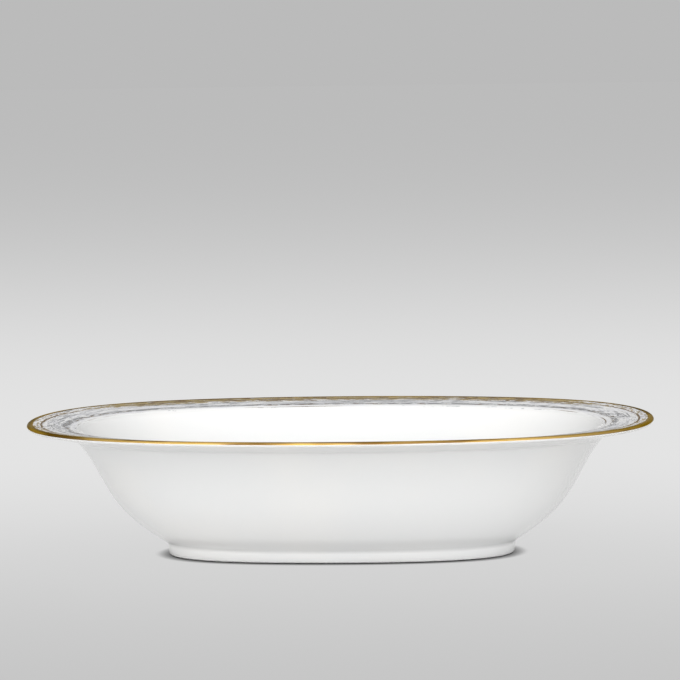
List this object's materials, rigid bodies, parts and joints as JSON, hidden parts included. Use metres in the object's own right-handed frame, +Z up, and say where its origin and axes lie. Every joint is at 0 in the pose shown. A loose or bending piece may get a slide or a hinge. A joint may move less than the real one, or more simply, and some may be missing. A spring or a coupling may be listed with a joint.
{
  "type": "oval footed serving bowl",
  "caption": "Oval white china serving bowl with a wide flat rim banded in gold and silver-grey strokes, a deep flared well and a low oval foot ring.",
  "frame": {"origin": "on the table, under the middle of the bowl", "axes": "+X along the bowl's length, +Y across it, +Z up out of the well"},
  "size_m": [0.273, 0.204, 0.059],
  "materials": {
    "white_glaze": "clear gloss glaze over white china",
    "foot_glaze": "clear gloss glaze, with a bare matt resting face",
    "burnished_gold": "burnished fired gold line",
    "gold_strokes": "broken gold strokes on a pale ground, under a thin glaze",
    "silver_strokes": "pale blue-grey and silver brushed strokes",
    "antique_gold": "thin broken brown-gold line"
  },
  "bodies": {
    "root": {"bowl_body": "white_glaze", "foot_ring": "foot_glaze", "gold_edge_band": "burnished_gold", "gold_stroke_band": "gold_strokes", "silver_stroke_band": "silver_strokes", "shoulder_gold_line": "antique_gold"}
  },
  "joints": []
}
